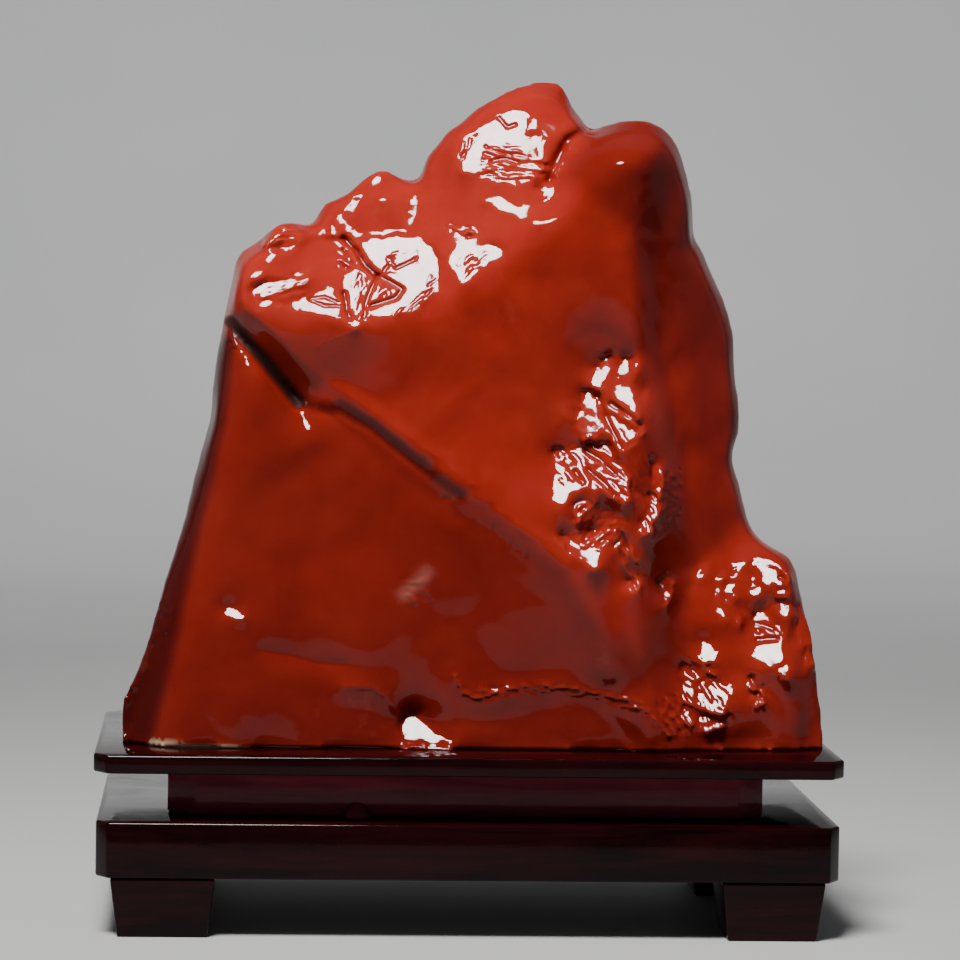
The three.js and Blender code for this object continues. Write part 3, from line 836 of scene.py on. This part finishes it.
def settled(mask, wanted):
    """The rise whose slopes are as wanted inside a mask, changing little by little outside it."""
    stiffness = abs(STEP_ACROSS) ** 2 + abs(STEP_DOWN) ** 2 + REACH_OF_CHANGE**-2
    rise = np.zeros_like(mask)
    drive = np.zeros_like(wanted)
    for _ in range(SETTLING_ROUNDS):
        drive += mask * (wanted - grid_slopes(rise))
        across, down = np.fft.rfft2(drive)
        waves = (STEP_ACROSS.conj() * across + STEP_DOWN.conj() * down) / stiffness
        rise = np.fft.irfft2(waves, s=mask.shape)
    return rise


def mirror_slopes(places):
    """How the face must rise, across the photograph and down it, to mirror the softbox."""
    to_light = np.array(KEY_PLACE) - places
    to_camera = np.array(CAMERA_PLACE) - places
    half = to_light / np.linalg.norm(to_light, axis=1, keepdims=True)
    half += to_camera / np.linalg.norm(to_camera, axis=1, keepdims=True)
    return np.stack((half[:, 0], -half[:, 2])) / half[:, 1]


class Relief:
    """What stands out from the stone's face, on a grid of the photograph's pixels."""

    def __init__(self, co, normal, front, at):
        self.rng = np.random.default_rng(SEED)
        down, across = np.mgrid[0:PHOTO_SIZE, 0:PHOTO_SIZE].astype(float)
        ragged = np.stack([ripples(self.rng, RAGGED_SIZE, RAGGED_SIZE, 0) for _ in "xy"])
        places = np.stack((across, down))
        self.places = places.reshape(2, -1).T
        self.ragged_places = (places + ragged * RAGGEDNESS).reshape(2, -1).T
        self.rise = np.zeros((PHOTO_SIZE, PHOTO_SIZE))
        self.seen, self.mirror, self.slopes = self.measure(co, normal, front, at)

    def measure(self, co, normal, front, at):
        """Where the face is, its slopes, and those that would mirror the softbox."""
        seen = front > 0.5
        cell = np.round(at[seen]).astype(int).clip(0, PHOTO_SIZE - 1)
        cell = cell[:, 1] * PHOTO_SIZE + cell[:, 0]
        slopes = normal[seen] / normal[seen, 1:2]
        wanted = mirror_slopes(co[seen])
        grids = []
        for values in (np.ones(len(cell)), *wanted, slopes[:, 0], -slopes[:, 2]):
            grid = np.bincount(cell, values, PHOTO_SIZE**2).reshape(PHOTO_SIZE, PHOTO_SIZE)
            grids.append(filtered(grid, blur(SPREAD_OF_BASE)))
        means = np.array(grids[1:]) / np.maximum(grids[0], LEAST_SHARE)
        return soft_step(grids[0], *SEEN_SHARE), means[:2], means[2:]

    def cut(self, outline, margin):
        """The grid's cells around some points, as a mask."""
        low = np.min(outline, axis=0) - margin
        high = np.max(outline, axis=0) + margin
        return np.flatnonzero(np.all((self.places > low) & (self.places < high), axis=1))

    def mask(self, outline, edge):
        cells = self.cut(outline, MASK_MARGIN)
        grid = np.zeros(PHOTO_SIZE**2)
        grid[cells] = soft_step(reach_inside(outline, self.ragged_places[cells]), *edge)
        return grid.reshape(PHOTO_SIZE, PHOTO_SIZE)

    def masks(self, outlines, edge):
        return np.max([self.mask(outline, edge) for outline in outlines], axis=0)

    def lay_facets(self, outlines, plain):
        """Turns the facets to the softbox, and the face around them away from it and the floor."""
        facets = self.masks(outlines, FACET_EDGE)
        free = self.seen * (1 - self.masks(outlines, CALM_MARGIN))
        away = self.slopes - self.mirror
        turned = np.linalg.norm(away, axis=0)
        calm = soft_step(turned, CALM_TURN, CALM_TURN / 2) * free
        calm = np.maximum(calm, self.masks(plain, PLAIN_EDGE) * (1 - facets))
        beside_groove = line_distance(LINES["groove"][0], self.places).reshape(turned.shape)
        free *= soft_step(beside_groove, *GROOVE_REACH)
        tipped = soft_step(self.slopes[1], LEAST_LEAN, LEAST_LEAN - LEAN_EDGE) * free
        turn = calm * np.maximum(CALM_TURN - turned, 0) / np.maximum(turned, LEAST_TURN)
        wanted = away * (turn - facets)
        wanted[1] += tipped * np.clip(LEAST_LEAN - self.slopes[1], 0, MOST_LEANING)
        self.rise += settled(np.maximum.reduce((facets, calm, tipped)), wanted)
        self.rise += ripples(self.rng, *FACET_RIPPLES) * RIPPLE_OF_FACETS * facets

    def roughen(self, outline, length, width, lean, steepness):
        mask = self.mask(outline, ROUGH_EDGE)
        self.rise += ripples(self.rng, length, width, lean) * steepness * mask

    def draw(self, points, width, rise):
        cells = self.cut(points, width * LINE_REACH)
        away = line_distance(points, self.places[cells])
        self.rise.ravel()[cells] += rise / PIXEL * np.exp(-((away / width) ** 2))

    def at(self, at, front):
        """The rise at places of the face, which the back follows evenly."""
        followed = filtered(self.rise, blur(SPREAD_OF_BACK))
        cell = at.clip(0, PHOTO_SIZE - 2)
        whole = cell.astype(int)
        (x, y), (u, v) = whole.T, (cell - whole).T
        total = 0
        for rise, share in ((self.rise, front), (followed, 1 - front)):
            upper = rise[y, x] * (1 - u) + rise[y, x + 1] * u
            lower = rise[y + 1, x] * (1 - u) + rise[y + 1, x + 1] * u
            total += (upper * (1 - v) + lower * v) * share
        return total


def evened(bm, verts, rounds, swelling=SWELLING):
    """Evens out small bumps. The swelling makes up for the shrinking, and 0 leaves it out."""
    for factor in (SHRINKING, swelling) * rounds:
        bmesh.ops.smooth_vert(
            bm, verts=verts, factor=factor, use_axis_x=True, use_axis_y=True, use_axis_z=True
        )


def away_from_marks(at):
    """How far each place in the photograph is from the nearest mark, in pixels."""
    nearest = np.full(len(at), np.inf)
    for outline in list(FACETS.values()) + [row[0] for row in ROUGH.values()]:
        nearest = np.minimum(nearest, -reach_inside(outline, at))
    for points, width, _ in LINES.values():
        nearest = np.minimum(nearest, line_distance(points, at) - width)
    return nearest


RIM_FACING = 0.6
FACE_FACING = -0.1


def places_of(bm):
    return photo_place(np.array([v.co[:] for v in bm.verts]))[0]


def fine_stone_mesh():
    """The stone's solid with a fine, even mesh, finer still around the marks on its face."""
    bm = bmesh.new()
    bm.from_mesh(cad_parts["stone"].data)
    bmesh.ops.remove_doubles(bm, verts=bm.verts, dist=1e-6)
    rough = new_object("rough_stone", bm)
    remesh = rough.modifiers.new("even_mesh", "REMESH")
    remesh.mode = "VOXEL"
    remesh.voxel_size = VOXEL * MM
    depsgraph = bpy.context.evaluated_depsgraph_get()
    mesh = bpy.data.meshes.new_from_object(rough.evaluated_get(depsgraph))
    bpy.data.objects.remove(rough)

    bm = bmesh.new()
    bm.from_mesh(mesh)
    above = [v for v in bm.verts if v.co.z > STAND_TOP + FOOT_BAND * MM]
    evened(bm, above, EVENING_ROUNDS)
    bm.normal_update()
    evened(bm, [v for v in above if abs(v.normal.y) < RIM_FACING], RIM_EVENING_ROUNDS, 0)
    for reach in FINE_REACHES:
        bm.normal_update()
        facing = np.array([v.normal.y for v in bm.verts]) < FACE_FACING
        busy = (away_from_marks(places_of(bm)) < reach) & facing
        edges = [e for e in bm.edges if busy[e.verts[0].index] and busy[e.verts[1].index]]
        bmesh.ops.subdivide_edges(bm, edges=edges, cuts=1, use_grid_fill=True)
        bm.verts.index_update()
        bm.verts.ensure_lookup_table()
        near = away_from_marks(places_of(bm)) < reach + FINE_MARGIN
        fine = [v for v in bm.verts if near[v.index] and v.co.z > STAND_TOP + FOOT_BAND * MM]
        evened(bm, fine, FINE_EVENING_ROUNDS)
    bmesh.ops.triangulate(bm, faces=bm.faces)
    bm.to_mesh(mesh)
    bm.free()
    return mesh


# Waves over the stone: how many to a metre, their height on its face in millimetres, and how
# much higher they are on its back
WAVES = ((60, 0.12, 0.5), (190, 0.02, 0.08))
BACK_FACING = (-0.2, 0.5)


def undulate(co, normal):
    """Slow and quick waves over the whole stone, stronger on its back."""
    back = soft_step(normal[:, 1], *BACK_FACING)
    amount = 0
    for number, height, more in WAVES:
        wave = np.array([noise.noise(Vector(place) * number) for place in co])
        amount = amount + wave * (height + more * back)
    return co + normal * amount[:, None] * MM


def vertex_array(mesh, name):
    values = np.empty(len(mesh.vertices) * 3, np.float32)
    mesh.vertices.foreach_get(name, values)
    return values.reshape(-1, 3).astype(float)


def set_places(mesh, co):
    mesh.vertices.foreach_set("co", co.astype(np.float32).ravel())
    mesh.update()


BEND_ROUNDS = 4
BEND_GAIN = 1.2


def edge_curvature(mesh, co):
    """How sharply each vertex stands out from its neighbours, 0.5 where it doesn't."""
    ends = np.empty(len(mesh.edges) * 2, np.int32)
    mesh.edges.foreach_get("vertices", ends)
    ends = ends.reshape(-1, 2)
    ways = ((ends[:, 0], ends[:, 1]), (ends[:, 1], ends[:, 0]))
    step = np.linalg.norm(co[ends[:, 0]] - co[ends[:, 1]], axis=1)
    total = np.zeros_like(co)
    links = np.zeros(len(co))
    length = np.zeros(len(co))
    for own, other in ways:
        np.add.at(total, own, co[other])
        np.add.at(links, own, 1)
        np.add.at(length, own, step)
    inward = ((total / links[:, None] - co) * vertex_array(mesh, "normal")).sum(1)
    bend = -inward / np.maximum((length / links) ** 2, 1e-12) * MM
    for _ in range(BEND_ROUNDS):
        mixed = np.zeros(len(co))
        for own, other in ways:
            np.add.at(mixed, own, bend[other])
        bend = (bend + mixed / links) / 2
    return np.clip(0.5 + bend * BEND_GAIN, 0, 1)


def paint(mesh, name, values):
    attribute = mesh.attributes.new(name, "FLOAT", "POINT")
    attribute.data.foreach_set("value", values.astype(np.float32))


# Where the stone's colour changes, in pixels of the photograph: the pale skin left at its right
# rim, the cream chip at its foot, the painted shade along the crease, the pale cloud in the middle,
# and the areas of painted shade, a darker red, with their share of it
SKIN_LINES = {
    "upper_right_rim": [(712, 262), (728, 300), (738, 352)],
    "lower_right_rim": [(731, 455), (740, 490), (752, 524)],
}
CHIP_LINE = [(150, 743), (200, 747), (248, 749)]
CREASE_SHADE = [(300, 403), (342, 410), (372, 426), (398, 447), (428, 471), (460, 494)]
CREASE_SHADE_DEPTH = 0.95
PALE_CLOUD = [(404, 594), (418, 582), (426, 572)]
PALE_CLOUD_SHARE = 0.25
SHADE_AREAS = {
    "below_crease": (0.54, [(225, 320), (298, 405), (372, 428), (430, 474), (500, 520), (560, 560),
                            (600, 620), (650, 660), (650, 800), (60, 800), (60, 420)]),
    "belly": (0.18, [(250, 350), (400, 345), (560, 350), (640, 330), (650, 340), (662, 450),
                     (640, 560), (600, 620), (560, 560), (430, 474), (372, 428), (298, 405)]),
    "head": (0.6, [(562, 176), (600, 110), (680, 110), (672, 250), (630, 230)]),
    "right_cheek": (0.36, [(625, 100), (720, 100), (900, 500), (900, 800), (640, 800), (640, 640),
                          (640, 560), (662, 450), (650, 340), (636, 230)]),
    "left_rim": (1.0, [(200, 330), (240, 330), (232, 420), (208, 520), (184, 640), (154, 760),
                       (60, 760)]),
}
SHADE_EDGE = (-14, 16)
# The share of painted shade on the back
BACK_SHADE = 0.33
GROOVE_EDGE = (10, 3)
SKIN_EDGE = (16, 3)
CHIP_EDGE = (3, 1)
CREASE_EDGE = (14, 0)
CLOUD_EDGE = (12, 0)
FRONT_FACING = (-0.1, 0.15)
SKIN_FACING = (-0.25, 0.1)


def along(points, edge, at):
    """1 on a line, fading to 0 away from it."""
    return soft_step(line_distance(points, at), *edge)


def build_stone(polish):
    mesh = fine_stone_mesh()
    co = undulate(vertex_array(mesh, "co"), vertex_array(mesh, "normal"))
    set_places(mesh, co)
    normal = vertex_array(mesh, "normal")
    front = soft_step(-normal[:, 1], *FRONT_FACING)
    at, pixel = photo_place(co)

    relief = Relief(co, normal, front, at)
    relief.lay_facets(FACETS.values(), PLAIN.values())
    for row in ROUGH.values():
        relief.roughen(*row)
    for row in LINES.values():
        relief.draw(*row)
    for x, y, width, rise in PITS:
        relief.draw([(x, y), (x + SPOT_LENGTH, y)], width, rise)
    co[:, 1] -= relief.at(at, front) * pixel
    lowest = co[:, 2] < STAND_TOP + SOLE_BAND * MM
    co[lowest, 2] = STAND_TOP
    set_places(mesh, co)

    paint(mesh, "edge", edge_curvature(mesh, co))
    # The groove's mask, for its painted shade and its dull gloss
    paint(mesh, "seam", along(LINES["groove"][0], GROOVE_EDGE, at) * front)
    skin = np.max([along(points, SKIN_EDGE, at) for points in SKIN_LINES.values()], axis=0)
    paint(mesh, "skin", skin * soft_step(normal[:, 1], *SKIN_FACING))
    paint(mesh, "chip", along(CHIP_LINE, CHIP_EDGE, at) * front)
    # Painted shade along the crease and over the listed areas, at a set share on the back
    painted_shade = CREASE_SHADE_DEPTH * along(CREASE_SHADE, CREASE_EDGE, at)
    for share, outline in SHADE_AREAS.values():
        painted_shade = np.maximum(painted_shade, share * soft_step(reach_inside(outline, at), *SHADE_EDGE))
    paint(mesh, "painted_shade", BACK_SHADE + (painted_shade - BACK_SHADE) * front)
    paint(mesh, "cloud", along(PALE_CLOUD, CLOUD_EDGE, at) * PALE_CLOUD_SHARE * front)

    stone = bpy.data.objects.new("stone_polished", mesh)
    bpy.context.scene.collection.objects.link(stone)
    mesh.materials.clear()
    smooth_shading(stone)
    finish_piece(stone, polished_red_stone(polish), "stone", "stone")


put_camera()
put_lights()
put_floor()
polish = hand_polish_group()
build_stand(wood_grain_group(), polish)
build_stone(polish)
